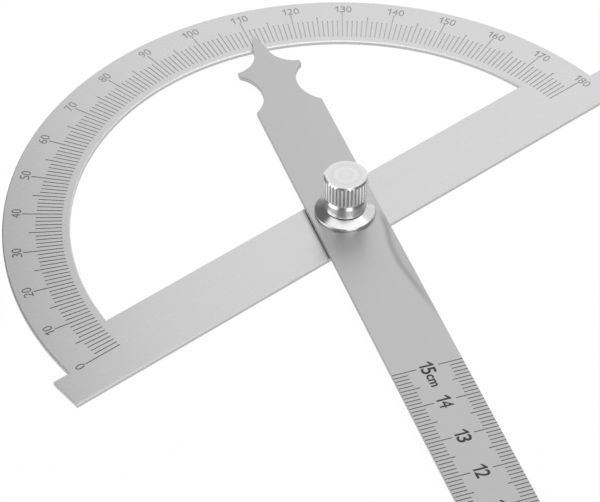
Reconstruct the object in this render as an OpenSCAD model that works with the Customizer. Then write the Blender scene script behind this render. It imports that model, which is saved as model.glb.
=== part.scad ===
// Protractor with a pivoting ruler arm, for reading and setting angles.
// The origin is on the pivot's axis, in the plane of the plate's back face.
// +X runs along the bar towards 180 degrees, +Y towards the arc, +Z towards the knob.

/* [Protractor plate] */
// Outer radius of the degree arc
arc_r = 75; // [65:0.5:110]
// Width of the arc, along its radius
arc_w = 14.8; // [13:0.1:20]
// Thickness of the plate's sheet
plate_t = 1.0; // [0.9:0.05:2]
// Width of the straight bar
bar_w = 15.8; // [15:0.1:24]
// How far the bar's middle lies below the pivot's axis
bar_drop = 0.3; // [0:0.1:2]
// How far each ear of the bar reaches past the arc
ear_reach = 4; // [2:0.5:12]
// Width of the bevel along the plate's front edges
edge_bevel = 0.25; // [0.1:0.05:0.4]

/* [Degree scale] */
// From the arc's inner edge to the inner ends of the marks
scale_gap = 1.7; // [1:0.1:2.5]
// Length of the marks for single degrees
degree_l = 5.8; // [4:0.1:6]
// Length of the marks for five degrees
five_l = 7.3; // [6:0.1:8]
// Length of the marks for ten degrees
ten_l = 8.9; // [8:0.1:10]

/* [Ruler arm] */
// Length from the pivot to the zero end of the ruler
rule_l = 200; // [150:5:300]
// Width of the arm
arm_w = 15.6; // [14:0.1:20]
// Thickness of the arm's sheet
arm_t = 1.0; // [0.8:0.05:2]
// Angle that the pointer shows, in degrees
reading = 110.7; // [0:0.1:180]

/* [Ruler marks] */
// Spacing of the finest marks
mark_pitch = 1; // [1:1:2]
// From the pivot to the ruler's highest mark
rule_start = 50; // [30:5:80]
// Length of the finest marks, from the edge inwards
fine_l = 3.2; // [2:0.1:4]
// Length of every fifth mark
fifth_l = 4.2; // [3:0.1:5]
// Length of every tenth mark
tenth_l = 5.4; // [4:0.1:6]

/* [All marks] */
// Width of every engraved mark
mark_w = 0.25; // [0.15:0.05:0.4]
// Depth of every engraved mark
mark_depth = 0.08; // [0.05:0.01:0.15]

/* [Pointer] */
// How far the tip reaches over the arc's inner edge
tip_lap = 3.0; // [1:0.1:6]
// Width of the blunt tip
tip_w = 0.7; // [0.4:0.1:1.4]
// Width over the two blunt barbs
barb_w = 15.0; // [14:0.1:15.2]
// From the tip back to the centres of the two neck curves
neck_back = 4.5; // [4:0.1:5.5]
// Radius of the neck curves
neck_r = 6.7; // [6.4:0.1:7.2]
// Width of the neck where its curves are closest
neck_w = 3.3; // [2.8:0.1:4]
// Where the needle's sides leave the neck curves, in degrees round their centres
needle_turn = 17; // [14:1:24]
// From the tip back to the narrowest place of the waist
waist_back = 19.0; // [18.6:0.1:20]
// Radius of the waist curves
waist_r = 8.4; // [7.8:0.1:8.8]
// Width of the waist where it is narrowest
waist_w = 8.7; // [7.6:0.1:9.6]

/* [Pivot] */
// Diameter of the stud's shank, over its thread
stud_d = 4; // [3:0.1:5]
// Diameter of the stud's flush head
head_d = 7; // [6:0.1:9]
// Thickness of the stud's flush head
head_t = 0.6; // [0.4:0.05:0.7]
// Bevel at the stud's free end
stud_bevel = 0.5; // [0.2:0.1:0.8]
// Outer diameter of the friction washer between plate and arm
shim_d = 12; // [10:0.5:13.5]
// Thickness of the friction washer
shim_t = 0.3; // [0.2:0.05:1]

/* [Clamping washer] */
// Diameter of the clamping washer
clamp_d = 13.5; // [12:0.1:15]
// Height of the clamping washer at its seat
clamp_h = 1.45; // [1.2:0.05:2.5]
// Height of the washer's rim
rim_h = 0.65; // [0.6:0.05:1]
// Radius of the rim's rounded corner
rim_round = 0.35; // [0.1:0.05:0.5]
// Diameter of the flat seat on top
seat_d = 9.0; // [8.8:0.1:10.5]

/* [Thumb nut] */
// Height of the whole nut
nut_h = 9.2; // [8:0.1:14]
// Diameter of the smooth collar under the head
collar_d = 9.2; // [8.8:0.1:9.6]
// Height of the collar
collar_h = 2.6; // [1.5:0.1:3.5]
// Bevel around the foot of the collar
collar_bevel = 0.25; // [0.15:0.05:0.4]
// Diameter of the groove between collar and knurl
groove_d = 8.2; // [7.6:0.1:8.6]
// From the collar's top edge up to the knurl
groove_h = 1.2; // [0.9:0.1:1.6]
// Diameter over the knurl
knurl_d = 9.8; // [9.4:0.1:12]
// Bevel on the lower edge of the knurl
knurl_bevel = 0.2; // [0.1:0.05:0.3]
// Number of ridges in the knurl
ridges = 36; // [24:1:48]
// Depth of the grooves between the ridges
ridge_h = 0.3; // [0.1:0.05:0.4]
// Radial width of the bevel on the top edge
top_bevel = 0.4; // [0.2:0.05:0.8]
// Depth of the threaded hole
tap_depth = 7.0; // [5:0.1:7.4]
// Bevel at the mouth of the threaded hole
tap_bevel = 0.4; // [0.2:0.1:0.6]

/* [Fits] */
// Radial clearance of the stud in the plate
press_gap = 0.02; // [0.01:0.01:0.05]
// Radial clearance of the arm and the nut on the stud
pivot_gap = 0.05; // [0.02:0.01:0.1]
// Radial clearance of both washers on the stud
washer_gap = 0.1; // [0.05:0.01:0.2]
// Clearance between flat faces that turn against each other
face_gap = 0.05; // [0.02:0.01:0.1]
// Free depth left beyond the stud's end in the nut
end_gap = 0.6; // [0.3:0.1:1]

/* [Hidden] */
$fn = 96;

// How far every cut runs past the faces that it cuts
overrun = 0.5;
// Share of one knurl pitch that is flat on a ridge, and at the foot of a groove
crest_share = 0.5;
foot_share = 0.08;
// Share of the neck radius at which the needle's sides end, inside the cut
root_share = 0.97;
// Points on each quarter turn of a small rounded corner
corner_steps = 5;

arc_in = arc_r - arc_w;
arc_mid = arc_r - arc_w / 2;
bar_top = bar_w / 2 - bar_drop;
bar_foot = bar_w / 2 + bar_drop;
bar_l = 2 * (arc_r + ear_reach);
arm_half = arm_w / 2;
stud_r = stud_d / 2;

// Heights of the stack on the stud, from the back face up
shim_z = plate_t;
arm_z = shim_z + shim_t + face_gap;
clamp_z = arm_z + arm_t + face_gap;
nut_z = clamp_z + clamp_h + face_gap;
stud_top = nut_z + tap_depth - end_gap;

// Places along the arm, from the pivot towards the pointer's tip
tip_x = arc_in + tip_lap;
neck_x = tip_x - neck_back;
neck_y = neck_w / 2 + neck_r;
waist_x = tip_x - waist_back;
waist_y = waist_w / 2 + waist_r;
root_x = neck_x - root_share * neck_r * sin(needle_turn);
root_y = neck_y - root_share * neck_r * cos(needle_turn);

// Number of marks between the ruler's zero end and its highest mark
mark_count = round((rule_l - rule_start) / mark_pitch);

// Points of a circular arc in the plane
function arc_points(x, y, r, from, to, steps) =
    [for (i = [0:steps]) let (a = from + (to - from) * i / steps) [x + r * cos(a), y + r * sin(a)]];

// Section of the arc, from its axis outwards, with both front edges bevelled
module arc_section() {
    polygon([
        [arc_in, 0],
        [arc_r, 0],
        [arc_r, plate_t - edge_bevel],
        [arc_r - edge_bevel, plate_t],
        [arc_in + edge_bevel, plate_t],
        [arc_in, plate_t - edge_bevel]
    ]);
}

// Part of the bar's section, from y = 0 out to one edge whose front is bevelled
module bar_section(reach) {
    polygon([
        [0, 0],
        [reach, 0],
        [reach, plate_t - edge_bevel],
        [reach - edge_bevel, plate_t],
        [0, plate_t]
    ]);
}

// That section laid along X, on the +Y side
module bar_strip(length, reach) {
    rotate([90, 0, 90])
        linear_extrude(height = length, center = true)
            bar_section(reach);
}

// Lengths of the marks that stand at number i, by fives and tens
function mark_length(i, plain, five, ten) = i % 10 == 0 ? ten : i % 5 == 0 ? five : plain;

// One mark's outline in the plane, starting at x = 0 and running along +X
module mark_outline(length) {
    translate([0, -mark_w / 2])
        square([length, mark_w]);
}

// All degree marks, from 0 on the left, clockwise to 180 on the right
module degree_marks() {
    translate([0, 0, plate_t - mark_depth])
        linear_extrude(height = mark_depth + overrun)
            for (i = [0:180])
                rotate(180 - i)
                    translate([arc_in + scale_gap, 0])
                        mark_outline(mark_length(i, degree_l, five_l, ten_l));
}

// Half-ring and bar, cut from one sheet, with the stud's stepped hole
module protractor_plate() {
    // The feet of the arc run on inside the bar
    foot_angle = asin(bar_top / arc_r) / 2;
    color([0.78, 0.78, 0.79])
    difference() {
        union() {
            rotate([0, 0, -foot_angle])
                rotate_extrude(angle = 180 + 2 * foot_angle, $fn = 360)
                    arc_section();
            mirror([0, 1, 0])
                bar_strip(bar_l, bar_foot);
            bar_strip(2 * arc_mid, bar_top);
        }
        degree_marks();
        translate([0, 0, -overrun])
            cylinder(h = plate_t + 2 * overrun, r = stud_r + press_gap);
        translate([0, 0, -overrun])
            cylinder(h = head_t + press_gap + overrun, r = head_d / 2 + press_gap);
    }
}

// Stud with a flush round head, pressed into the plate from behind
module pivot_stud() {
    color([0.7, 0.7, 0.72])
    rotate_extrude()
        polygon([
            [0, 0],
            [head_d / 2, 0],
            [head_d / 2, head_t],
            [stud_r, head_t],
            [stud_r, stud_top - stud_bevel],
            [stud_r - stud_bevel, stud_top],
            [0, stud_top]
        ]);
}

// Thin ring that keeps the arm off the engraved plate
module friction_washer() {
    color([0.5, 0.5, 0.52])
    translate([0, 0, shim_z])
    difference() {
        cylinder(h = shim_t, r = shim_d / 2);
        translate([0, 0, -overrun])
            cylinder(h = shim_t + 2 * overrun, r = stud_r + washer_gap);
    }
}

// Outline of the arm, with the pointer towards +X; all corners from the waist to
// the needle's root lie inside the four curves that are cut next
module arm_blank() {
    upper = [
        [tip_x, tip_w / 2],
        [root_x, root_y],
        [neck_x, barb_w / 2],
        [waist_x, barb_w / 2],
        [waist_x, arm_half],
        [-rule_l, arm_half]
    ];
    lower = [for (i = [len(upper) - 1:-1:0]) [upper[i][0], -upper[i][1]]];
    polygon(concat(upper, lower));
}

// Marks along both long edges, counted from the zero end
module ruler_marks() {
    translate([0, 0, arm_t - mark_depth])
        linear_extrude(height = mark_depth + overrun)
            for (i = [1:mark_count], side = [-1, 1])
                translate([i * mark_pitch - rule_l, side * (arm_half + overrun)])
                    rotate(-side * 90)
                        mark_outline(overrun + mark_length(i, fine_l, fifth_l, tenth_l));
}

// The arm lying along X, with its pointer towards +X and its back at z = 0
module arm_flat() {
    difference() {
        linear_extrude(height = arm_t)
            arm_blank();
        for (side = [-1, 1]) {
            translate([waist_x, side * waist_y, -overrun])
                cylinder(h = arm_t + 2 * overrun, r = waist_r);
            translate([neck_x, side * neck_y, -overrun])
                cylinder(h = arm_t + 2 * overrun, r = neck_r);
        }
        translate([0, 0, -overrun])
            cylinder(h = arm_t + 2 * overrun, r = stud_r + pivot_gap);
        ruler_marks();
    }
}

// Ruler and pointer in one sheet, turned to the reading
module ruler_arm() {
    color([0.74, 0.74, 0.75])
    translate([0, 0, arm_z])
    rotate([0, 0, 180 - reading])
        arm_flat();
}

// Polished washer with a rounded rim, rising to a flat seat for the nut
module clamping_washer() {
    corner = arc_points(clamp_d / 2 - rim_round, rim_h - rim_round, rim_round, 0, 75, corner_steps);
    color([0.82, 0.82, 0.84])
    translate([0, 0, clamp_z])
    rotate_extrude()
        polygon(concat(
            [[stud_r + washer_gap, 0], [clamp_d / 2, 0]],
            corner,
            [[seat_d / 2, clamp_h], [stud_r + washer_gap, clamp_h]]
        ));
}

// Outline of the knurl, seen along its axis
module knurl_outline() {
    pitch = 360 / ridges;
    tip_r = knurl_d / 2;
    foot_r = tip_r - ridge_h;
    polygon([
        for (i = [0:ridges - 1], p = [
            [-crest_share / 2, tip_r],
            [crest_share / 2, tip_r],
            [0.5 - foot_share / 2, foot_r],
            [0.5 + foot_share / 2, foot_r]
        ])
        let (a = (i + p[0]) * pitch) [p[1] * cos(a), p[1] * sin(a)]
    ]);
}

// The knurled length of the head, bevelled at both ends
module knurl() {
    low = collar_h + groove_h;
    low_r = knurl_d / 2 - knurl_bevel;
    top_r = knurl_d / 2 - top_bevel;
    intersection() {
        translate([0, 0, low])
            linear_extrude(height = nut_h - low)
                knurl_outline();
        // Both bevels run on past the ridges
        rotate_extrude()
            polygon([
                [0, low],
                [low_r, low],
                [low_r + knurl_bevel + overrun, low + knurl_bevel + overrun],
                [top_r + top_bevel + overrun, nut_h - top_bevel - overrun],
                [top_r, nut_h],
                [0, nut_h]
            ]);
    }
}

// Collar with a bevelled foot, whose shoulder slopes in to the groove under the knurl
module nut_foot() {
    collar_r = collar_d / 2;
    groove_r = groove_d / 2;
    rotate_extrude()
        polygon([
            [0, 0],
            [collar_r - collar_bevel, 0],
            [collar_r, collar_bevel],
            [collar_r, collar_h],
            [groove_r, collar_h + collar_r - groove_r],
            [groove_r, collar_h + groove_h],
            [0, collar_h + groove_h]
        ]);
}

// Closed knurled nut: collar, groove and knurl turned from one bar
module thumb_nut() {
    bore_r = stud_r + pivot_gap;
    color([0.86, 0.86, 0.88])
    translate([0, 0, nut_z])
    difference() {
        union() {
            nut_foot();
            knurl();
        }
        translate([0, 0, -overrun])
            cylinder(h = tap_depth + overrun, r = bore_r);
        translate([0, 0, -tap_bevel])
            cylinder(h = 2 * tap_bevel, r1 = bore_r + 2 * tap_bevel, r2 = bore_r);
    }
}

protractor_plate();
pivot_stud();
friction_washer();
ruler_arm();
clamping_washer();
thumb_nut();
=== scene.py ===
# %% [markdown]
# # An angle finder in brushed steel
# A flat protractor, a ruler arm that turns on it, and a knurled nut that clamps the two.
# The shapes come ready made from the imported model, so this lesson is about finish: how satin
# sheet, engraved marks, printed figures and polished turned parts are told apart by a few
# nodes each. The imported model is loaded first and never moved.

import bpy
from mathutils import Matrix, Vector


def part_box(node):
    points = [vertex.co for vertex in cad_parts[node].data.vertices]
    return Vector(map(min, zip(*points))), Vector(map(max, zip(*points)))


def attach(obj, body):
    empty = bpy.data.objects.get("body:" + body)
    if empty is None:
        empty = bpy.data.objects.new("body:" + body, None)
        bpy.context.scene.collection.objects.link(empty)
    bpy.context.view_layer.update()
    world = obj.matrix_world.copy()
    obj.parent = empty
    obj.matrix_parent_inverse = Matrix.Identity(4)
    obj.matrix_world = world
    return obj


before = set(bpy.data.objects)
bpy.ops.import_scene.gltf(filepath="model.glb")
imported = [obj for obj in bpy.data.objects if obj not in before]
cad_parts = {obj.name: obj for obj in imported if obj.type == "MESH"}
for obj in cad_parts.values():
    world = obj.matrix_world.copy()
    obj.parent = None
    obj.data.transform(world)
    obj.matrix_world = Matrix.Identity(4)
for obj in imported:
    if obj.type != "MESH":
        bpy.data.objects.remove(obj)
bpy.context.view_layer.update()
print("nodes:", sorted(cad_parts))

# %% Tools and measures
import math

import bmesh
import bpy
from mathutils import Matrix, Vector

MM = 0.001
plate_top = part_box("protractor_plate")[1].z
arm_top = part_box("ruler_arm")[1].z
print("plate top", round(plate_top / MM, 2), "mm, arm top", round(arm_top / MM, 2), "mm")

# %% [markdown]
# ## The camera
# The photograph was taken with a long lens from the front left, 43 degrees up. A long lens
# keeps the two straight bars nearly parallel-sided. The place and the turn were worked out
# from the degree marks and the ruler marks, whose true sizes are known.

# %% Set the camera
PHOTO_WIDTH_PX = 600
FOCAL_PX = 2754.5
SENSOR_WIDTH_MM = 36.0
CAMERA_PLACE = (-0.292587, -0.331265, 0.412725)
CAMERA_TURN_DEGREES = (46.27975, -0.30701, -39.88514)
FARTHEST_SEEN = 10.0

camera_data = bpy.data.cameras.new("camera")
camera_data.sensor_fit = "HORIZONTAL"
camera_data.sensor_width = SENSOR_WIDTH_MM
camera_data.lens = FOCAL_PX / PHOTO_WIDTH_PX * SENSOR_WIDTH_MM
camera_data.clip_end = FARTHEST_SEEN
camera = bpy.data.objects.new("camera", camera_data)
camera.location = CAMERA_PLACE
camera.rotation_euler = [math.radians(degrees) for degrees in CAMERA_TURN_DEGREES]
bpy.context.scene.collection.objects.link(camera)
bpy.context.scene.camera = camera
print("lens", round(camera_data.lens, 1), "mm")

# %% [markdown]
# ## Node trees
# The room and all the finishes are node trees. They could be clicked together in the editor,
# but written out they can be read and changed. A few helpers keep them short: one adds a
# node and links it, the others add the small sums that most of these trees are made of.

# %% Helpers for node trees
def node(tree, kind, inputs=None, **settings):
    """Adds one node; inputs maps a socket to a value or to another node's output."""
    made = tree.nodes.new(kind)
    for key, value in settings.items():
        setattr(made, key, value)
    for key, value in (inputs or {}).items():
        if isinstance(value, bpy.types.NodeSocket):
            tree.links.new(value, made.inputs[key])
        else:
            made.inputs[key].default_value = value
    return made


def arithmetic(tree, kind, a, b=0.0):
    return node(tree, "ShaderNodeMath", {0: a, 1: b}, operation=kind).outputs[0]


def total(tree, a, b):
    return arithmetic(tree, "ADD", a, b)


def product(tree, a, b):
    return arithmetic(tree, "MULTIPLY", a, b)


def spread(tree, value, low, high, start=0.0, end=1.0, shape="LINEAR"):
    """Maps a value from the range start..end to low..high, without leaving it."""
    ends = {"Value": value, "From Min": start, "From Max": end, "To Min": low, "To Max": high}
    made = node(tree, "ShaderNodeMapRange", ends, clamp=True, interpolation_type=shape)
    return made.outputs[0]


def axis(tree, vector, name):
    return node(tree, "ShaderNodeSeparateXYZ", {0: vector}).outputs[name]


def length(tree, vector):
    made = node(tree, "ShaderNodeVectorMath", {0: vector}, operation="LENGTH")
    return made.outputs["Value"]


def grey(level):
    """A neutral colour with full alpha."""
    return (level, level, level, 1.0)


print("node helpers: node, arithmetic, total, product, spread, axis, length, grey")

# %% [markdown]
# ## Light
# Metal has hardly any colour of its own: it shows what it reflects. Small lamps would show
# as hot spots, so one very large softbox hangs over the work, and its left edge is what
# fades the sheet from grey on the left to pale on the right. The softbox and most of the
# reflectors are laid out on one level above the table, in two measures: across, roughly
# from left to right as the camera sees it, and along, roughly away from the camera.

# %% Hang the softbox
LIGHT_HEIGHT = 0.35
ACROSS = Vector((0.885, -0.466, 0.0))
ALONG = Vector((0.466, 0.885, 0.0))
SOFTBOX_ACROSS = (-0.053, 0.55)
SOFTBOX_ALONG = (0.06, 0.95)
SOFTBOX_LEVEL = 0.76

lamp = bpy.data.lights.new("softbox", "AREA")
lamp.shape = "RECTANGLE"
lamp.size = SOFTBOX_ACROSS[1] - SOFTBOX_ACROSS[0]
lamp.size_y = SOFTBOX_ALONG[1] - SOFTBOX_ALONG[0]
lamp.energy = SOFTBOX_LEVEL * math.pi * lamp.size * lamp.size_y
softbox = bpy.data.objects.new("softbox", lamp)
middle = ACROSS * sum(SOFTBOX_ACROSS) / 2 + ALONG * sum(SOFTBOX_ALONG) / 2
middle.z = LIGHT_HEIGHT
turn = Matrix((ACROSS, ALONG, Vector((0, 0, 1)))).transposed()
softbox.matrix_world = Matrix.Translation(middle) @ turn.to_4x4()
softbox.visible_camera = False
bpy.context.scene.collection.objects.link(softbox)
print("softbox", round(lamp.energy, 2), "W at", [round(v, 3) for v in middle])

# %% [markdown]
# ## The room
# The polished knob shows the whole room. It is a dim one, a little lighter low on its wall,
# with soft-edged reflectors: pale ones left of the tool, over its near end, its front and
# its middle, and grey ones beside the softbox and on the wall. The dark gaps between them
# draw the dark lines that make polish look like polish. Only the metal shows them, so they
# are painted on the sky: each direction is followed up to the level of the lights, or to a
# round wall if it meets that first, which gives its place across and along.

# %% Follow each direction to its place
WALL_RADIUS = 0.42
SMALLEST = 0.001  # keeps the divisions away from nought

world = bpy.data.worlds.new("studio")
world.use_nodes = True
tree = world.node_tree
tree.nodes.clear()
sky = node(tree, "ShaderNodeTexCoord").outputs["Generated"]
up = axis(tree, sky, "Z")
level_way = node(tree, "ShaderNodeMapping", {"Vector": sky, "Scale": (1, 1, 0)}).outputs[0]
steepness = arithmetic(tree, "MAXIMUM", up, SMALLEST)
outwards = arithmetic(tree, "MAXIMUM", length(tree, level_way), SMALLEST)
to_lights = arithmetic(tree, "DIVIDE", LIGHT_HEIGHT, steepness)
to_wall = arithmetic(tree, "DIVIDE", WALL_RADIUS, outwards)
reach = arithmetic(tree, "MINIMUM", to_lights, to_wall)
wall_height = product(tree, up, to_wall)
places = []
for way in (ACROSS, ALONG):
    share = node(tree, "ShaderNodeVectorMath", {0: sky, 1: way}, operation="DOT_PRODUCT")
    places.append(product(tree, share.outputs["Value"], reach))
across, along = places
print("lights", LIGHT_HEIGHT, "m up, wall", WALL_RADIUS, "m away")

# %% Lay out the reflectors
REFLECTORS = {  # from and to across, from and to along, level
    "left": (-0.60, -0.295, -0.22, 0.15, 1.1),
    "near": (-0.04, 0.185, -0.60, 0.02, 1.15),
    "front": (-0.04, 0.27, 0.02, 0.09, 1.15),
    "middle": (-0.17, -0.04, -0.05, 0.14, 1.05),
    "beside the softbox": (-0.125, -0.06, 0.14, 0.60, 0.14),
}
WALL_REFLECTOR_TOP = 0.2
WALL_REFLECTORS = {
    "far": (-0.055, 0.12, 0.30, 0.60, 0.4),
    "far right": (0.12, 0.33, 0.20, 0.60, 0.5),
    "right": (0.33, 0.46, 0.05, 0.24, 0.25),
}
print("reflectors:", ", ".join([*REFLECTORS, *WALL_REFLECTORS]))

# %% Paint the room
ROOM_LEVEL = 0.16
LOW_WALL_LEVEL = 0.14
LOW_WALL_TOP = 0.12
EDGE = 0.025


def window(tree, value, low, high):
    """1 well inside low and high, 0 outside, with a soft edge."""
    rise = spread(tree, value, 0.0, 1.0, low - EDGE, low + EDGE, "SMOOTHSTEP")
    fall = spread(tree, value, 1.0, 0.0, high - EDGE, high + EDGE, "SMOOTHSTEP")
    return product(tree, rise, fall)


low_wall = spread(tree, wall_height, LOW_WALL_LEVEL, 0.0, LOW_WALL_TOP / 2, LOW_WALL_TOP,
                  "SMOOTHSTEP")
level = total(tree, ROOM_LEVEL, low_wall)
on_wall = arithmetic(tree, "LESS_THAN", wall_height, WALL_REFLECTOR_TOP)
for reflectors, shown in ((REFLECTORS, 1.0), (WALL_REFLECTORS, on_wall)):
    for left, right, near, far, brightness in reflectors.values():
        patch = product(tree, window(tree, across, left, right),
                        window(tree, along, near, far))
        patch = product(tree, patch, shown)
        level = total(tree, level, product(tree, patch, brightness))
print("room painted with", len(tree.nodes), "nodes")

# %% Keep the background white for the camera
path = node(tree, "ShaderNodeLightPath")
room = node(tree, "ShaderNodeBackground", {"Color": grey(1.0), "Strength": level})
white = node(tree, "ShaderNodeBackground", {"Color": grey(1.0), "Strength": 1.0})
mixed = node(tree, "ShaderNodeMixShader",
             {0: path.outputs["Is Camera Ray"], 1: room.outputs[0], 2: white.outputs[0]})
node(tree, "ShaderNodeOutputWorld", {"Surface": mixed.outputs[0]})
bpy.context.scene.world = world
bpy.context.scene.view_settings.view_transform = "Standard"
print("world:", world.name)

# %% [markdown]
# ## The table
# A white table under the tool. Paint alone would come out grey under one softbox. So for
# the camera and in the metal's reflections the table glows almost white by itself, and a
# small share of plain diffuse white keeps the tool's shadow on it.

# %% White paper
SHADOW_SHARE = 0.06
PAPER_TONE = 0.9
PAPER_GLOW = 1.02


def new_material(name):
    """An empty node material; its tree is filled by the caller."""
    material = bpy.data.materials.new(name)
    material.use_nodes = True
    material.node_tree.nodes.clear()
    return material


paper = new_material("white_table")
tree = paper.node_tree
path = node(tree, "ShaderNodeLightPath")
seen = arithmetic(tree, "MAXIMUM", path.outputs["Is Camera Ray"], path.outputs["Is Glossy Ray"])
seen = arithmetic(tree, "MAXIMUM", seen, path.outputs["Is Transmission Ray"])
share = product(tree, seen, 1 - SHADOW_SHARE)
matt = node(tree, "ShaderNodeBsdfDiffuse", {"Color": grey(PAPER_TONE)})
glow = node(tree, "ShaderNodeEmission", {"Color": grey(1.0), "Strength": PAPER_GLOW})
mixed = node(tree, "ShaderNodeMixShader", {0: share, 1: matt.outputs[0], 2: glow.outputs[0]})
node(tree, "ShaderNodeOutputMaterial", {"Surface": mixed.outputs[0]})
print("paper keeps", SHADOW_SHARE, "of the shadow")

# %% Lay the table
TABLE_HALF = 3.0
TABLE_DROP = 0.2 * MM  # keeps the table clear of the plate's back

bm = bmesh.new()
bmesh.ops.create_grid(bm, x_segments=1, y_segments=1, size=TABLE_HALF)
bmesh.ops.translate(bm, verts=bm.verts, vec=(0, 0, -TABLE_DROP))
table_mesh = bpy.data.meshes.new("table")
bm.to_mesh(table_mesh)
bm.free()
table_mesh.materials.append(paper)
table = bpy.data.objects.new("table", table_mesh)
bpy.context.scene.collection.objects.link(table)
print("table at", round(-TABLE_DROP / MM, 2), "mm")

# %% [markdown]
# ## Finishes
# No two spots of a real finish are quite alike. Pictures of metal could show that, but they
# blur up close and need unwrapping, so every finish here is noise that drives colour,
# roughness and a shallow bump together. It reads Object coordinates, so the pattern turns
# with its piece. Masks tell where a finish applies, by height and by which way a face looks.

# %% Helpers for finishes
def local_place(tree):
    """The place on the piece, in metres, in its own frame."""
    return node(tree, "ShaderNodeTexCoord").outputs["Object"]


def face_direction(tree):
    return node(tree, "ShaderNodeNewGeometry").outputs["True Normal"]


def noise(tree, vector, per_metre, detail):
    inputs = {"Vector": vector, "Scale": per_metre, "Detail": detail, "Roughness": 0.5}
    return node(tree, "ShaderNodeTexNoise", inputs).outputs["Fac"]


def band(tree, value, low, high):
    """1 where the value lies between low and high, else 0."""
    above = arithmetic(tree, "GREATER_THAN", value, low)
    below = arithmetic(tree, "LESS_THAN", value, high)
    return product(tree, above, below)


# The Mix node keeps sockets for every kind of data. Inputs 6 and 7 and output 2 are colours,
# inputs 4 and 5 and output 1 are vectors.
def blend_colour(tree, share, first, second):
    made = node(tree, "ShaderNodeMix", {0: share, 6: first, 7: second}, data_type="RGBA")
    return made.outputs[2]


def bump(tree, height, strength, distance):
    inputs = {"Strength": strength, "Distance": distance, "Height": height}
    return node(tree, "ShaderNodeBump", inputs).outputs[0]


def surface(tree, colour, rough, normal, metallic=1.0):
    """Ends a finish with one shader and its output."""
    shader = node(tree, "ShaderNodeBsdfPrincipled", {"Base Color": colour, "Roughness": rough,
                                                     "Metallic": metallic, "Normal": normal})
    node(tree, "ShaderNodeOutputMaterial", {"Surface": shader.outputs[0]})


def dress(node_name, material):
    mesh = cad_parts[node_name].data
    mesh.materials.clear()
    mesh.materials.append(material)
    print(node_name, "wears", material.name)


print("finish helpers: local_place, face_direction, noise, band, blend_colour, bump, surface")

# %% [markdown]
# ## Satin sheet
# Plate and arm are cut from stainless sheet that was ground with a fine belt, so they carry a
# fine grain in one direction: noise that is stretched along the grain. The sheared sides are
# duller: rougher, and painted a darker grey as shade. The worn edges between side and face are
# bright. The floors and sides of the engraved marks are blackened. On the plate the blacking
# is darker on the left, which is painted shade, and paler from the middle on, as in the
# photograph.

# %% Noise along the grain
GRAIN = {  # stretch along the grain, patches per metre, detail
    "fine": (0.02, 9000.0, 2.0),
    "streaks": (0.006, 1500.0, 4.0),
    "clouds": (0.5, 45.0, 3.0),
}


def turned_place(tree, turn_degrees, scale):
    """The place on the piece, turned so that X runs along the grain, then scaled."""
    angles = (0, 0, math.radians(-turn_degrees))
    turned = node(tree, "ShaderNodeMapping",
                  {"Vector": local_place(tree), "Rotation": angles}).outputs[0]
    return node(tree, "ShaderNodeMapping", {"Vector": turned, "Scale": scale}).outputs[0]


def grain_noise(tree, name, turn_degrees):
    stretch, per_metre, detail = GRAIN[name]
    place = turned_place(tree, turn_degrees, (stretch, 1.0, 1.0))
    return noise(tree, place, per_metre, detail)


print("grain:", ", ".join(GRAIN))

# %% Where the sheet is engraved, worn or sheared
LEVEL_FACE = 0.9  # a face that looks up more than this is level
UPRIGHT_FACE = 0.4  # and one that looks up or down less than this stands upright
MARK_DEEPEST = 0.12 * MM
MARK_SHALLOWEST = 0.04 * MM


def sheet_masks(tree, top):
    """Marks, worn edges and sheared sides of a sheet whose face lies at top."""
    height = axis(tree, local_place(tree), "Z")
    facing = axis(tree, face_direction(tree), "Z")
    level_faces = arithmetic(tree, "GREATER_THAN", facing, LEVEL_FACE)
    edges = band(tree, facing, UPRIGHT_FACE, LEVEL_FACE)
    steepness = arithmetic(tree, "ABSOLUTE", facing)
    sheared = arithmetic(tree, "LESS_THAN", steepness, UPRIGHT_FACE)
    at_floor = band(tree, height, top - MARK_DEEPEST, top - MARK_SHALLOWEST)
    at_side = band(tree, height, top - MARK_DEEPEST, top)
    marks = arithmetic(tree, "MAXIMUM", product(tree, level_faces, at_floor),
                       product(tree, sheared, at_side))
    return {"marks": marks, "edges": edges, "sheared": sheared}


print("marks found down to", MARK_DEEPEST / MM, "mm")

# %% Blacking darker on the left, as painted shade
BLACKING_PALES_FROM = -62 * MM
BLACKING_PALES_TO = -12 * MM


def worn_tone(tree, dark, worn):
    """Dark at the left end of the scale, paler from the middle on; on the marks the dark left
    end is painted shade.
    """
    x = axis(tree, local_place(tree), "X")
    share = spread(tree, x, 0.0, 1.0, BLACKING_PALES_FROM, BLACKING_PALES_TO, "SMOOTHSTEP")
    return blend_colour(tree, share, grey(dark), grey(worn))


# the tone pales over this span; on the marks its dark left end is painted shade
print("blacking wears from", BLACKING_PALES_FROM / MM, "to", BLACKING_PALES_TO / MM, "mm")

# %% Rounded look of a worn edge
# The worn edge is round, so its highlight comes from higher up than its flat bevel's own.
GRAIN_BUMP = 0.1
GRAIN_DEPTH = 0.004 * MM
EDGE_LIFT = (0.0, 0.0, 0.9)


def satin_normal(tree, fine, edges):
    lifted = node(tree, "ShaderNodeVectorMath", {0: face_direction(tree), 1: EDGE_LIFT},
                  operation="ADD").outputs[0]
    lifted = node(tree, "ShaderNodeVectorMath", {0: lifted}, operation="NORMALIZE").outputs[0]
    grained = bump(tree, fine, GRAIN_BUMP, GRAIN_DEPTH)
    return node(tree, "ShaderNodeMix", {0: edges, 4: grained, 5: lifted},
                data_type="VECTOR").outputs[1]


print("edge highlights lifted by", EDGE_LIFT[2])

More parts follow.
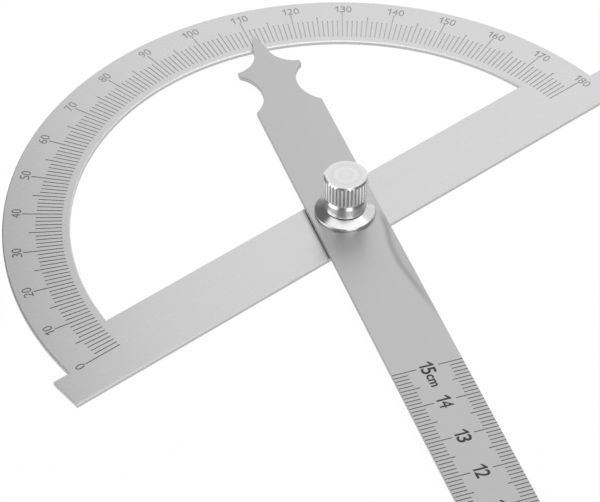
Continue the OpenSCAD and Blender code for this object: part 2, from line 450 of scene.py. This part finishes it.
# %% Satin sheet finish
PALE, DEEP = 1.012, 0.978  # shares of the sheet's tone that the grain swings between
GRAIN_RAMP = (0.3, 0.7)  # noise keeps near its middle, so a ramp spreads that part out
STREAKS_SHARE, STREAKS_RAMP = 0.4, (0.45, 0.7)
CLOUDS_SHARE, CLOUDS_RAMP = 0.35, (0.4, 0.7)
SHADE_STREAK_DARKEST = 0.5  # share of the sheet's tone where the painted shade streak is darkest
BURNISHED = 0.76
# the sheared sides are painted this darker grey as shade, and they are also rougher
SHEARED_SIDE_SHADE = 0.6
GRAIN_ROUGHNESS = 0.09
ROUGHER = {"marks": 0.05, "edges": 0.12, "sheared": 0.3}


def satin_sheet(name, tone, grain_degrees, top, engraved, rough_from, shade_streak=None):
    """Ground sheet; engraved holds the blacking's two tones; the last argument, a function or
    None, paints a shade streak.
    """
    material = new_material(name)
    tree = material.node_tree
    fine, streaks, clouds = (grain_noise(tree, kind, grain_degrees) for kind in GRAIN)
    masks = sheet_masks(tree, top)
    pale, deep = grey(tone * PALE), grey(tone * DEEP)
    colour = blend_colour(tree, spread(tree, fine, 0.0, 1.0, *GRAIN_RAMP), deep, pale)
    in_streaks = spread(tree, streaks, 0.0, STREAKS_SHARE, *STREAKS_RAMP)
    colour = blend_colour(tree, in_streaks, colour, deep)
    in_clouds = spread(tree, clouds, 0.0, CLOUDS_SHARE, *CLOUDS_RAMP)
    colour = blend_colour(tree, in_clouds, colour, pale)
    # painted shade: the dark streak beside the washer
    if shade_streak:
        colour = blend_colour(tree, shade_streak(tree), colour, grey(tone * SHADE_STREAK_DARKEST))
    colour = blend_colour(tree, masks["edges"], colour, grey(BURNISHED))
    # painted shade on the sheared sides
    colour = blend_colour(tree, masks["sheared"], colour, grey(SHEARED_SIDE_SHADE))
    # the marks' blacking, darker on the left as painted shade
    colour = blend_colour(tree, masks["marks"], colour, worn_tone(tree, *engraved))
    rough = spread(tree, fine, rough_from, rough_from + GRAIN_ROUGHNESS, *GRAIN_RAMP)
    for mask, extra in ROUGHER.items():
        rough = total(tree, rough, product(tree, masks[mask], extra))
    surface(tree, colour, rough, satin_normal(tree, fine, masks["edges"]))
    return material


print("roughness added:", ROUGHER)

# %% [markdown]
# ## The painted shade streak on the arm
# Beside the washer the arm has one faint dark streak, which bends from the washer to the edge.
# It is painted shade from the knob and washer. It has no depth, so it is painted in the
# arm's finish. Its middle line is a small sum of ramps along the arm. The streak is a dark core
# on that line and a fainter shade on its outer side, and it fades in and out along the arm. All
# its measures are in millimetres.

# %% The painted shade streak
ARM_DEGREES = 69.3
SHADE_STREAK_ASIDE = 5.5
SHADE_STREAK_DRIFT = (2.4, 20.0, 38.0)  # how far it drifts outwards, from and to along the arm
SHADE_STREAK_BEND = (1.5, 4.0, 16.0)  # how much further out it starts, from and to along the arm
SHADE_STREAK_CORE, SHADE_STREAK_HALF_WIDTH = 0.48, 1.15
SHADE_STREAK_OUTER, SHADE_STREAK_OUTER_EDGE = 0.18, (-0.6, 0.4)
SHADE_STREAK_FADES_IN, SHADE_STREAK_FADES_OUT = (1.0, 6.0), (22.0, 44.0)


def rub_mark(tree):
    """How much painted shade the streak lays on each place of the arm."""
    place = turned_place(tree, ARM_DEGREES, (1 / MM, 1 / MM, 1 / MM))
    along_mm = product(tree, axis(tree, place, "X"), -1.0)
    aside_mm = product(tree, axis(tree, place, "Y"), -1.0)
    line = total(tree, SHADE_STREAK_ASIDE, spread(tree, along_mm, 0.0, *SHADE_STREAK_DRIFT))
    bend, *bend_ends = SHADE_STREAK_BEND
    line = total(tree, line, spread(tree, along_mm, bend, 0.0, *bend_ends, "SMOOTHSTEP"))
    offset = arithmetic(tree, "SUBTRACT", aside_mm, line)
    core = spread(tree, arithmetic(tree, "ABSOLUTE", offset), SHADE_STREAK_CORE, 0.0,
                  0.0, SHADE_STREAK_HALF_WIDTH, "SMOOTHSTEP")
    shade = spread(tree, offset, 0.0, SHADE_STREAK_OUTER, *SHADE_STREAK_OUTER_EDGE, "SMOOTHSTEP")
    fade_in = spread(tree, along_mm, 0.0, 1.0, *SHADE_STREAK_FADES_IN, "SMOOTHSTEP")
    fade_out = spread(tree, along_mm, 1.0, 0.0, *SHADE_STREAK_FADES_OUT, "SMOOTHSTEP")
    return product(tree, total(tree, core, shade), product(tree, fade_in, fade_out))


# the painted shade streak ends this far from the pivot
print("rub ends", SHADE_STREAK_FADES_OUT[1], "mm from the pivot")

# %% Dress plate and arm
PLATE_TONE = 0.73
# the blacking's tone at the left, darkened there as painted shade, and from the middle on
PLATE_BLACKING = (0.26, 0.5)
PLATE_ROUGHNESS = 0.265
ARM_TONE = 0.6
ARM_BLACKING = (0.28, 0.28)
ARM_ROUGHNESS = 0.36
dress("protractor_plate", satin_sheet("plate_satin", PLATE_TONE, 0.0, plate_top,
                                      PLATE_BLACKING, PLATE_ROUGHNESS))
dress("ruler_arm", satin_sheet("arm_satin", ARM_TONE, ARM_DEGREES, arm_top,
                               ARM_BLACKING, ARM_ROUGHNESS, rub_mark))

# %% [markdown]
# ## Polished turned parts
# Nut and clamping washer were turned on a lathe and polished. The tool leaves rings round
# the axis, so here the pattern is a noise on the distance from the axis and on the height,
# not on X and Y. A flat end is faced off across the whole width and is polished less, so it
# is a little duller and its rings are wider; the washer's seat is rubbed grey by the nut. The
# knurl is pressed in, which leaves it rougher than the turned faces; its grooves are painted
# darker as shade. What faces down just above the foot is painted nearly black as shade, which
# draws the fine line under the nut.

# %% Noise in rings
RINGS_PER_METRE = 9000.0
WIDE_RINGS_PER_METRE = 1100.0
CLOUDS_PER_METRE = 500.0


def ring_noises(tree):
    """Fine rings, wide rings and clouds, with the distance from the axis and the height."""
    place = local_place(tree)
    flat = node(tree, "ShaderNodeMapping", {"Vector": place, "Scale": (1, 1, 0)}).outputs[0]
    radius, height = length(tree, flat), axis(tree, place, "Z")
    rings_at = node(tree, "ShaderNodeCombineXYZ", {"X": radius, "Y": height}).outputs[0]
    rings = noise(tree, rings_at, RINGS_PER_METRE, detail=2.0)
    wide_rings = noise(tree, rings_at, WIDE_RINGS_PER_METRE, detail=3.0)
    clouds = noise(tree, place, CLOUDS_PER_METRE, detail=3.0)
    return rings, wide_rings, clouds, radius, height


print("wide rings every", round(1 / WIDE_RINGS_PER_METRE / MM, 1), "mm or so")

# %% Colour of a turned part
RING_RAMP = (0.35, 0.65)
SIDE_PALE, SIDE_DEEP = 1.03, 0.95
END_PALE, END_DEEP = 1.03, 0.94
END_FACE = 0.98  # a face that looks straight up or down more than this is an end
DOWN_FACE = -0.3  # and one that looks down more than this can be an underside
# the painted underside shade reaches this high above the foot
SHADED_HEIGHT = 0.3 * MM


def turned_colour(tree, tone, faced, rings, wide_rings, end):
    """Fine rings on the sides, wide ones on the ends; faced is an end's share of the tone."""
    side = blend_colour(tree, spread(tree, rings, 0.0, 1.0, *RING_RAMP),
                        grey(tone * SIDE_DEEP), grey(min(tone * SIDE_PALE, 1.0)))
    on_end = blend_colour(tree, spread(tree, wide_rings, 0.0, 1.0, *RING_RAMP),
                          grey(tone * faced * END_DEEP), grey(tone * faced * END_PALE))
    return blend_colour(tree, end, side, on_end)


def ends_and_underside(tree, height, foot):
    """Masks of the flat ends and of what faces down just above the foot."""
    facing = axis(tree, face_direction(tree), "Z")
    end = arithmetic(tree, "GREATER_THAN", arithmetic(tree, "ABSOLUTE", facing), END_FACE)
    under = product(tree, arithmetic(tree, "LESS_THAN", facing, DOWN_FACE),
                    arithmetic(tree, "LESS_THAN", height, foot + SHADED_HEIGHT))
    return end, under


# painted shade covers downward faces up to this height above the foot
print("undersides are oily up to", SHADED_HEIGHT / MM, "mm above the foot")

# %% Turned finish
# painted shade for what faces down just above the foot
UNDERSIDE_SHADE = 0.12
# painted shade in the knurl's grooves
GROOVE_SHADE = 0.6
CLOUDED = (0.85, 1.15)  # shares of the roughness that the clouds swing between
RING_ROUGHNESS = 0.04
END_ROUGHNESS = 0.08
KNURL_ROUGHNESS = 0.25
END_RING_SHARE = 0.2  # depth of the rings on an end, as a share of that on a side
RING_DEPTH = 0.003 * MM


def turned_metal(name, tone, roughness, ring_strength, faced, foot, knurl=None):
    """Polished metal with rings; knurl holds its two ends and the radius of its crests."""
    material = new_material(name)
    tree = material.node_tree
    rings, wide_rings, clouds, radius, height = ring_noises(tree)
    end, under = ends_and_underside(tree, height, foot)
    colour = turned_colour(tree, tone, faced, rings, wide_rings, end)
    low_high = (roughness * share for share in CLOUDED)
    rough = spread(tree, clouds, *low_high, *RING_RAMP)
    rough = total(tree, rough, product(tree, rings, RING_ROUGHNESS))
    rough = total(tree, rough, product(tree, end, END_ROUGHNESS))
    if knurl:
        low, high, crest = knurl
        pressed = band(tree, height, low, high)
        groove = product(tree, pressed, arithmetic(tree, "LESS_THAN", radius, crest))
        # painted shade darkens the knurl's grooves
        colour = blend_colour(tree, groove, colour, grey(GROOVE_SHADE))
        rough = total(tree, rough, product(tree, pressed, KNURL_ROUGHNESS))
    # painted shade: downward faces just above the foot go nearly black
    colour = blend_colour(tree, under, colour, grey(UNDERSIDE_SHADE))
    strength = spread(tree, end, ring_strength, ring_strength * END_RING_SHARE)
    surface(tree, colour, rough, bump(tree, rings, strength, RING_DEPTH))
    return material


print("underside tone", UNDERSIDE_SHADE, "and groove tone", GROOVE_SHADE)

# %% Dress the turned parts
KNURL_BELOW_TOP = (5.2 * MM, 0.4 * MM)  # its lower and its upper end
KNURL_CREST = 4.83 * MM  # what lies further in belongs to a groove
NO_SHADED_UNDERSIDE = -1.0  # a foot below the whole piece, so that no face counts as its underside
foot = {name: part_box(name)[0].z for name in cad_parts}
nut_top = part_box("thumb_nut")[1].z
knurl = (nut_top - KNURL_BELOW_TOP[0], nut_top - KNURL_BELOW_TOP[1], KNURL_CREST)
TURNED = {  # material, tone, roughness, strength of the rings, faced share, foot, knurl
    "thumb_nut": ("nut_polish", 0.9, 0.17, 0.2, 0.92, foot["thumb_nut"], knurl),
    "clamping_washer": ("washer_polish", 0.73, 0.14, 0.1, 0.4, foot["clamping_washer"]),
    "pivot_stud": ("stud_turned", 0.58, 0.34, 0.4, 0.95, NO_SHADED_UNDERSIDE),
    "friction_washer": ("friction_washer_rolled", 0.42, 0.42, 0.2, 0.95, NO_SHADED_UNDERSIDE),
}
for piece_name, finish in TURNED.items():
    dress(piece_name, turned_metal(*finish))

# %% [markdown]
# ## Figures
# The figures on both scales are printed. Thin meshes keep their outlines sharper than any
# pattern in the finish could. A text object gives the outlines; it is made a mesh while it
# still lies at the origin, then stretched to the measured height and width and moved to its
# mark. The printed 1 has a long flag that the font lacks, so it is a face of seven corners,
# made thick by an extrude. All figures of one scale end up in one mesh.

# %% Outlines of the figures
PRINT_THICKNESS = 0.015 * MM
CAPITAL_SHARE = 0.727  # height of a figure in the font, as a share of the text size
CURVE_STEPS = 4


def glyph(words, height, weight):
    """Words in the font as a thin mesh, with their outline moved out by weight."""
    text = bpy.data.curves.new("figure", "FONT")
    text.body = words
    text.size = height / CAPITAL_SHARE
    text.offset = weight
    text.extrude = PRINT_THICKNESS / 2
    text.resolution_u = CURVE_STEPS
    holder = bpy.data.objects.new("figure", text)
    bpy.context.scene.collection.objects.link(holder)
    bpy.context.view_layer.update()
    shaped = holder.evaluated_get(bpy.context.evaluated_depsgraph_get())
    mesh = bpy.data.meshes.new_from_object(shaped)
    bpy.data.objects.remove(holder)
    bpy.data.curves.remove(text)
    return mesh


print("print is", PRINT_THICKNESS / MM, "mm thick")

# %% The figure 1 with a flag
FLAG_START = 0.25  # where the flag leaves the stem's top, as a share of the stem
FLAG_TIP = (0.76, 0.62)  # upper and lower corner of its tip, as shares of the height
FLAG_ROOT = 0.78  # where its lower edge meets the stem


def flagged_one(stem):
    """A 1 in a cell one wide and one high; stem is the share that its stem takes."""
    inner = 1 - stem
    outline = [(inner, 0), (1, 0), (1, 1), (inner + stem * FLAG_START, 1),
               (0, FLAG_TIP[0]), (0, FLAG_TIP[1]), (inner, FLAG_ROOT)]
    bm = bmesh.new()
    corners = [bm.verts.new((x, y, -PRINT_THICKNESS / 2)) for x, y in outline]
    grown = bmesh.ops.extrude_face_region(bm, geom=[bm.faces.new(corners)])["geom"]
    bmesh.ops.translate(bm, verts=[g for g in grown if isinstance(g, bmesh.types.BMVert)],
                        vec=(0, 0, PRINT_THICKNESS))
    bmesh.ops.recalc_face_normals(bm, faces=bm.faces)
    mesh = bpy.data.meshes.new("one")
    bm.to_mesh(mesh)
    bm.free()
    return mesh


print("one: seven corners, flag from", FLAG_TIP[1], "to", FLAG_TIP[0], "of the height")

# %% Set the figures in cells
FOUR_SHARE = 0.05  # the ruler's 4 is thin: it gets this share of the other figures' weight


def stretched(target, mesh, left, right, low, high, place):
    """Fits a thin mesh into the given cell and adds it to the mesh that target collects."""
    xs = [v.co.x for v in mesh.vertices]
    ys = [v.co.y for v in mesh.vertices]
    width, height = max(xs) - min(xs), max(ys) - min(ys)
    size = Matrix.Diagonal(((right - left) / width, (high - low) / height, 1, 1))
    move = Matrix.Translation((left, low, 0))
    mesh.transform(place @ move @ size @ Matrix.Translation((-min(xs), -min(ys), 0)))
    target.from_mesh(mesh)
    bpy.data.meshes.remove(mesh)


def number(target, value, style, place):
    """Sets a number digit by digit in equal cells, centred on its place."""
    digits = str(value)
    height, cell, gap, weight = (style[key] for key in ("height", "cell", "gap", "weight"))
    left = -(len(digits) * cell + (len(digits) - 1) * gap) / 2
    for digit in digits:
        if digit == "1":
            mesh = flagged_one(style["stem"])
            ends = [left + end for end in style["one"]]
        else:
            thinned = FOUR_SHARE if digit == "4" and weight > 0 else 1.0
            mesh = glyph(digit, height, weight * thinned)
            ends = [left, left + cell]
        stretched(target, mesh, *ends, -height / 2, height / 2, place)
        left += cell + gap


print("figures are set in cells, each 1 by its own ends")

# %% Ink
INK_GRAIN_PER_METRE = 6000.0
INK_PATCHES_PER_METRE = 700.0
WORN_GRAIN_SHARE, WORN_GRAIN_RAMP = 0.5, (0.4, 0.7)
WORN_PATCHES_SHARE, WORN_PATCHES_RAMP = 0.8, (0.5, 0.75)
INK_ROUGHNESS = (0.45, 0.6)
INK_BUMP = 0.2
INK_DEPTH = 0.003 * MM


def ink(name, tones, wear):
    """Printing ink: its tones at the left and from the middle on, worn paler in patches."""
    material = new_material(name)
    tree = material.node_tree
    place = local_place(tree)
    grain = noise(tree, place, INK_GRAIN_PER_METRE, detail=2.0)
    patches = noise(tree, place, INK_PATCHES_PER_METRE, detail=3.0)
    dark = worn_tone(tree, *tones)
    worn = worn_tone(tree, *(tone + wear for tone in tones))
    in_grain = spread(tree, grain, 0.0, WORN_GRAIN_SHARE, *WORN_GRAIN_RAMP)
    in_patches = spread(tree, patches, 0.0, WORN_PATCHES_SHARE, *WORN_PATCHES_RAMP)
    colour = blend_colour(tree, in_grain, dark, worn)
    colour = blend_colour(tree, in_patches, colour, worn)
    rough = spread(tree, grain, *INK_ROUGHNESS, *GRAIN_RAMP)
    surface(tree, colour, rough, bump(tree, grain, INK_BUMP, INK_DEPTH), metallic=0.0)
    return material


scale_ink = ink("scale_ink", (0.1, 0.34), 0.1)
ruler_ink = ink("ruler_ink", (0.035, 0.035), 0.03)
print("inks:", scale_ink.name, ruler_ink.name)

# %% Make the figures one piece
WELD = 0.0001 * MM


def finished(name, target, material, body):
    """Makes the collected figures one piece that rides on its body."""
    bmesh.ops.remove_doubles(target, verts=target.verts, dist=WELD)
    bmesh.ops.recalc_face_normals(target, faces=target.faces)
    mesh = bpy.data.meshes.new(name)
    target.to_mesh(mesh)
    target.free()
    mesh.materials.append(material)
    piece = bpy.data.objects.new(name, mesh)
    bpy.context.scene.collection.objects.link(piece)
    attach(piece, body)
    print(name, len(mesh.polygons), "faces")


print("corners closer than", round(WELD / MM, 4), "mm are welded")

# %% Figures of the degree scale
DEGREE_FIGURE_RADIUS = 72.1 * MM
DEGREE_FIGURE_SHIFT = 0.12 * MM
DEGREE_STYLE = {"height": 2.15 * MM, "cell": 1.27 * MM, "gap": 0.23 * MM,
                "one": (0.31 * MM, 1.08 * MM), "stem": 0.36, "weight": -0.02 * MM}

figures = bmesh.new()
for degrees in range(0, 181, 10):
    outward = Matrix.Rotation(math.radians(90 - degrees), 4, "Z")
    at = (DEGREE_FIGURE_SHIFT, DEGREE_FIGURE_RADIUS, plate_top + PRINT_THICKNESS)
    number(figures, degrees, DEGREE_STYLE, outward @ Matrix.Translation(at))
finished("degree_figures", figures, scale_ink, "protractor")

# %% Figures of the ruler
RULER_LENGTH = 200.0 * MM
CENTIMETRE = 10 * MM
RULER_FIGURE_SHIFT = 0.12 * MM
RULER_STYLE = {"height": 3.15 * MM, "cell": 1.75 * MM, "gap": 0.25 * MM,
               "one": (0.42 * MM, 1.72 * MM), "stem": 0.34, "weight": 0.07 * MM}
along_arm = Matrix.Rotation(math.radians(ARM_DEGREES), 4, "Z")
upright = Matrix.Rotation(math.pi, 4, "Z")


def on_arm(x, y):
    """A place on the arm for a figure that reads from the ruler's zero end."""
    return along_arm @ Matrix.Translation((x, y, arm_top + PRINT_THICKNESS)) @ upright


figures = bmesh.new()
for centimetre in range(1, 16):
    place = on_arm(centimetre * CENTIMETRE - RULER_LENGTH, RULER_FIGURE_SHIFT)
    number(figures, centimetre, RULER_STYLE, place)
print("ruler figures at", RULER_FIGURE_SHIFT / MM, "mm from the middle line")

# %% The unit beside the 15
UNIT_AT = (-53.87 * MM, 0.5 * MM)
UNIT_WIDTH = 3.5 * MM
UNIT_HEIGHT = 1.6 * MM
UNIT_WEIGHT = 0.05 * MM
stretched(figures, glyph("cm", UNIT_HEIGHT, UNIT_WEIGHT), -UNIT_WIDTH / 2, UNIT_WIDTH / 2,
          -UNIT_HEIGHT / 2, UNIT_HEIGHT / 2, on_arm(*UNIT_AT))
finished("ruler_figures", figures, ruler_ink, "arm")
